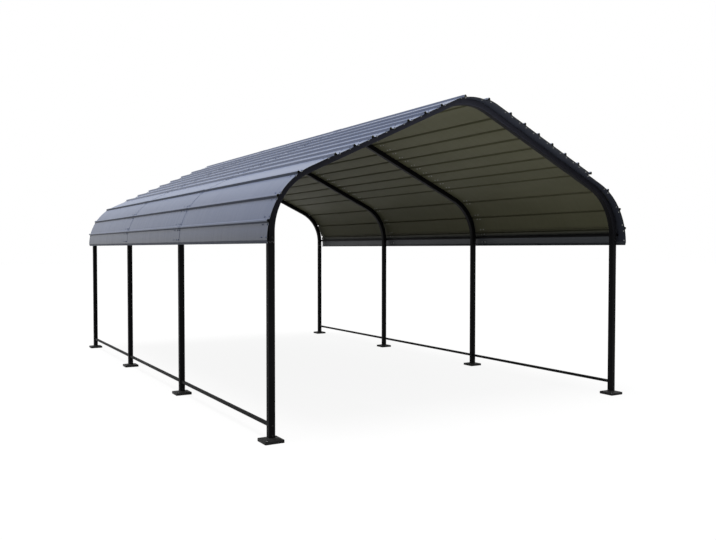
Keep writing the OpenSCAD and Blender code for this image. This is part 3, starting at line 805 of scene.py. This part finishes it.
def slope_lines(level):
    """Outer and inner line of a slope sheet. Its top rib lies under the ridge sheet and its lowest rib
    lies over the eave sheet. level is 0 for the sheet and STACK for its lap."""
    lines = []
    for o, z in ((level, level + SHEET_T), (level - SHEET_T, level)):
        if level > 0:
            line = [(RIDGE_RIB_S + LAP_STOP, z, 0)]
        else:
            line = rib_line(RIDGE_RIB_S, o - STACK, z, z)
        for s in SLOPE_RIB_S[:-1]:
            line += rib_line(s, o, z, z)
        line += rib_line(S_SIDE, o, z, STACK)
        lines.append(line)
    return lines


def eave_lines(level):
    """Outer and inner line of an eave sheet. Its first rib lies under the slope sheet, and only the
    sheet itself has the lip at the lower edge."""
    lines = []
    for o, z in ((level, level + SHEET_T), (level - SHEET_T, level)):
        if level > 0:
            line = [(S_SIDE + LAP_STOP, z, 0)]
        else:
            line = rib_line(S_SIDE, o - STACK, z, z)
        for s in EAVE_RIB_S:
            line += rib_line(s, o, z, z)
        if level > 0:
            line.append((S_STOP, z, 0))
        else:
            line += [(S_LIP, z, FOLD_R), (S_LOW, z - LIP_IN, 0)]
        lines.append(line)
    return lines


def ridge_lines(level):
    """Outer and inner line of a ridge sheet, which ends in a rib over the slope sheet on each side."""
    return [rib_line(-RIDGE_RIB_S, o, STACK, z) + rib_line(RIDGE_RIB_S, o, z, STACK)
            for o, z in ((level, level + SHEET_T), (level - SHEET_T, level))]


def lap_start(i, strip):
    """Where the lap of one length over the next starts, at frame i."""
    return FRAME_Y[i] - LAP_BACK - LAP_L - (OVERHANG[strip] - OVERHANG["eave"])


LINES = {"slope": slope_lines, "eave": eave_lines, "ridge": ridge_lines}
# The eave sheets' down-facing rib flanks take the darker paint, painted shade under the ribs.
FLANKS = {"slope": ROOF_OUT, "eave": ROOF_FLANK_SHADE, "ridge": ROOF_OUT}
LENGTHS = 3


def roof_sheet(strip, i, side, node):
    """One length of sheet. All but the last step up at the rear and lap over the next."""
    first, last = i == 0, i == LENGTHS - 1
    y0 = FRAME_Y[0] - OVERHANG[strip] if first else lap_start(i, strip) + SHEET_GAP
    y1 = SHEET_REAR_Y if last else lap_start(i + 1, strip)
    shape = Shape()
    sheet_shell(shape, *LINES[strip](0.0), y0, y1, side, EDGE if first else OUTSIDE)
    if not last:
        sheet_shell(shape, *LINES[strip](STACK), y1 - STEP_L, y1 + LAP_L, side, OUTSIDE)
    shape.piece(node + "_sheet", [ROOF_OUT, ROOF_IN, ROOF_IN, FLANKS[strip]], "roof_sheet", [node])


for i in range(LENGTHS):
    for side, sx in SIDES:
        roof_sheet("slope", i, sx, "slope_%s%d" % (side, i + 1))
        roof_sheet("eave", i, sx, "eave_%s%d" % (side, i + 1))
    roof_sheet("ridge", i, 1, "ridge_%d" % (i + 1))


# Trim strip under the front overhang: a dark strip whose paint stands in for the shade under the overhang, painted
# shade

def trim_strip(side):
    """Strip on one half, ahead of the bow from the ridge to the shoulder and beside it further down."""
    shape = Shape()
    high, low = -SHEET_GAP, -SHEET_GAP - TRIM_T
    ahead = FRAME_Y[0] - TUBE_W / 2 - SHEET_GAP
    beside = FRAME_Y[0] - OVERHANG["eave"] + TRIM_BACK + TRIM_W
    for s0, s1, strip, rear in ((SHEET_GAP / 2, RIDGE_RIB_S, "ridge", ahead), (RIDGE_RIB_S, S_SIDE, "slope", ahead),
                                (S_SIDE, S_PASS, "eave", ahead), (S_PASS, S_STOP, "eave", beside)):
        outer, inner = [(s0, high, 0), (s1, high, 0)], [(s0, low, 0), (s1, low, 0)]
        sheet_shell(shape, outer, inner, FRAME_Y[0] - OVERHANG[strip] + TRIM_BACK, rear, side)
    return shape


for side, sx in SIDES:
    trim_strip(sx).piece("trim_%s_strip" % side, [TRIM_SHADE_PAINT] * 4, "frame_black", ["trim_%s" % side])


# Roof screws: a low painted head with a rubber washer outside, a nut and a bolt end inside. They
# stand beside the ribs, at the BESIDE distances from a rib's middle. LAP_ROWS are distances from
# the start of a lap, FRONT_INSET from the front edge and LOW_SCREW_UP from the lower edge.
HEAD_PAINT, RUBBER_PAINT, NUT_PAINT = range(3)
SCREW_FLATS = 0.0080
SCREW_HEAD_H = 0.0032
SCREW_FLANGE_R = 0.0065
SCREW_FLANGE_T = 0.0010
SCREW_RUBBER_R = 0.0070
SCREW_RUBBER_T = 0.0010
NUT_FLATS = 0.0100
NUT_H = 0.0038
TIP_R = 0.0024
TIP_L = 0.0028
FRONT_INSET = 0.018
LAP_ROWS = (0.024, 0.075)
SLOPE_BESIDE = (-0.046, 0.036)
EAVE_BESIDE = (-0.033, 0.025)
LOW_SCREW_UP = 0.046


def strip_places(strip):
    """Places of the screws along one half of the roof, beside the ribs of one strip of sheets."""
    if strip == "ridge":
        return [RIDGE_RIB_S - SLOPE_BESIDE[1]]
    if strip == "slope":
        return [s + d for s in [RIDGE_RIB_S] + SLOPE_RIB_S for d in SLOPE_BESIDE
                if RIDGE_RIB_S < s + d < S_SIDE]
    return [S_SIDE - EAVE_BESIDE[0]] + [s + d for s in EAVE_RIB_S for d in EAVE_BESIDE] + [S_LOW - LOW_SCREW_UP]


def roof_screw(shape, s, y, side, lift, under):
    """One screw through the sheet at place s; lift and under are the heights of the outer face and
    of the lowest inner face there. No nut where under is None, as the bow is below."""
    nx, nz = roof_normal(s)
    out = Vector((side * nx, 0, nz))
    x, z = roof_point(s, 0.0)
    foot = Vector((side * x, y, z))
    face = foot + out * lift
    washer(shape, face, out, SCREW_RUBBER_R, SCREW_RUBBER_T, RUBBER_PAINT)
    flange = face + out * SCREW_RUBBER_T
    washer(shape, flange, out, SCREW_FLANGE_R, SCREW_FLANGE_T, HEAD_PAINT)
    hex_head(shape, flange + out * SCREW_FLANGE_T, out, SCREW_FLATS, SCREW_HEAD_H, HEAD_PAINT)
    if under is not None:
        inner = foot + out * under
        washer(shape, inner, -out, SCREW_FLANGE_R, SCREW_FLANGE_T, NUT_PAINT)
        hex_head(shape, inner - out * SCREW_FLANGE_T, -out, NUT_FLATS, NUT_H, NUT_PAINT)
        stud_end(shape, inner - out * (SCREW_FLANGE_T + NUT_H), -out, TIP_R, TIP_L, NUT_PAINT)


def screw_row(name, row_y, lift, under):
    """Screws of all three strips on both halves; row_y gives the row's place for a strip."""
    for side, sx in SIDES:
        shape = Shape()
        for strip in ("ridge", "slope", "eave"):
            for s in strip_places(strip):
                roof_screw(shape, s, row_y(strip), sx, lift, under)
        shape.piece("screws_%s_%s" % (name, side), [ROOF_SCREW, RUBBER, ZINC], "roof_sheet")


screw_row("front", lambda strip: FRAME_Y[0] - OVERHANG[strip] + FRONT_INSET, SHEET_T,
          -SHEET_GAP - TRIM_T)
for i in range(1, LENGTHS):
    for k, row in enumerate(LAP_ROWS, 1):
        screw_row("lap%d_%d" % (i, k), lambda strip: lap_start(i, strip) + row, SHEET_T + STACK, 0.0)
for i, y in enumerate(FRAME_Y, 1):
    screw_row("bow%d" % i, lambda strip: y, SHEET_T, None)


# Floor and light. The floor and the sky look white to the camera and in reflections, and throw less
# light on the object than that: SKY_LOW from the horizon, SKY_HIGH from straight above.
FLOOR_SIZE = 120.0
FLOOR_BOUNCE = 0.12
FLOOR_GLOW = 0.90
SKY_LOW = 0.06
SKY_HIGH = 0.74
SUN_LEVEL = 1.80
SUN_SPREAD = 30
SUN_AT = (0, 0, 6)
SUN_FROM = (-0.22, -0.08, 0.97)
FILL_POWER = 52.0
FILL_SIZE = (3.0, 2.4)
FILL_AT = (-0.4, -3.3, 0.03)
FILL_TOWARD = (0.25, 0.05, 0.97)

floor_mesh = bpy.data.meshes.new("floor")
half = FLOOR_SIZE / 2
floor_mesh.from_pydata([(-half, -half, 0), (half, -half, 0), (half, half, 0), (-half, half, 0)], [],
                       [(0, 1, 2, 3)])
floor = new_object("floor", floor_mesh)


def seen_directly(tree):
    """1 for camera, glossy and transmission rays, 0 for the light that falls on the object."""
    path = add_node(tree, "ShaderNodeLightPath")
    total = path.outputs["Is Camera Ray"]
    for name in ("Is Glossy Ray", "Is Transmission Ray"):
        node = add_node(tree, "ShaderNodeMath", operation="MAXIMUM")
        tree.links.new(total, node.inputs[0])
        tree.links.new(path.outputs[name], node.inputs[1])
        total = node.outputs[0]
    return total


def floor_material():
    material = bpy.data.materials.new("floor_white")
    material.use_nodes = True
    tree = material.node_tree
    tree.nodes.clear()
    output = add_node(tree, "ShaderNodeOutputMaterial")
    matt = add_node(tree, "ShaderNodeBsdfDiffuse", {"Color": (FLOOR_BOUNCE,) * 3 + (1,)})
    glow = add_node(tree, "ShaderNodeEmission", {"Color": (1, 1, 1, 1)})
    level = add_node(tree, "ShaderNodeMath", operation="MULTIPLY")
    level.inputs[1].default_value = FLOOR_GLOW
    total = add_node(tree, "ShaderNodeAddShader")
    tree.links.new(seen_directly(tree), level.inputs[0])
    tree.links.new(level.outputs[0], glow.inputs["Strength"])
    tree.links.new(matt.outputs[0], total.inputs[0])
    tree.links.new(glow.outputs[0], total.inputs[1])
    tree.links.new(total.outputs[0], output.inputs["Surface"])
    return material


floor_mesh.materials.append(floor_material())

world = bpy.data.worlds.new("studio")
bpy.context.scene.world = world
world.use_nodes = True
sky_tree = world.node_tree
sky = sky_tree.nodes["Background"]
sky.inputs["Color"].default_value = (1, 1, 1, 1)
toward_sky = add_node(sky_tree, "ShaderNodeTexCoord")
parts = add_node(sky_tree, "ShaderNodeSeparateXYZ")
height = add_node(sky_tree, "ShaderNodeMapRange", {"From Min": 0.0, "From Max": 1.0, "To Min": SKY_LOW,
                                                   "To Max": SKY_HIGH})
strength = add_node(sky_tree, "ShaderNodeMapRange", {"To Max": 1.0})
sky_tree.links.new(toward_sky.outputs["Generated"], parts.inputs["Vector"])
sky_tree.links.new(parts.outputs["Z"], height.inputs["Value"])
sky_tree.links.new(height.outputs["Result"], strength.inputs["To Min"])
sky_tree.links.new(seen_directly(sky_tree), strength.inputs["Value"])
sky_tree.links.new(strength.outputs["Result"], sky.inputs["Strength"])

sun_data = bpy.data.lights.new("sun", "SUN")
sun_data.energy = SUN_LEVEL
sun_data.angle = math.radians(SUN_SPREAD)
new_object("sun", sun_data, toward(SUN_AT, SUN_FROM))

# Light from the floor under the front bay
fill_data = bpy.data.lights.new("fill", "AREA")
fill_data.shape = "RECTANGLE"
fill_data.size, fill_data.size_y = FILL_SIZE
fill_data.energy = FILL_POWER
fill = new_object("fill", fill_data, toward(FILL_AT, -Vector(FILL_TOWARD)))
fill.visible_camera = False
fill.visible_glossy = False

# Camera, as fitted to the photo. Angles are in degrees, lens and sensor in millimetres.
CAMERA_AT = Vector((-3.988, -7.9405, 1.394))
CAMERA_YAW = 30.63
CAMERA_DOWN = 1.62
CAMERA_ROLL = 0.04
CAMERA_SEES = 200
LENS = 37.84
SENSOR = 36

camera_data = bpy.data.cameras.new("camera")
camera_data.sensor_fit = "HORIZONTAL"
camera_data.sensor_width = SENSOR
camera_data.lens = LENS
camera_data.clip_end = CAMERA_SEES
camera_place = (Matrix.Translation(CAMERA_AT) @ Matrix.Rotation(math.radians(-CAMERA_YAW), 4, "Z")
                @ Matrix.Rotation(math.radians(90 - CAMERA_DOWN), 4, "X")
                @ Matrix.Rotation(math.radians(CAMERA_ROLL), 4, "Z"))
bpy.context.scene.camera = new_object("camera", camera_data, camera_place)

bpy.context.scene.view_settings.view_transform = "Standard"
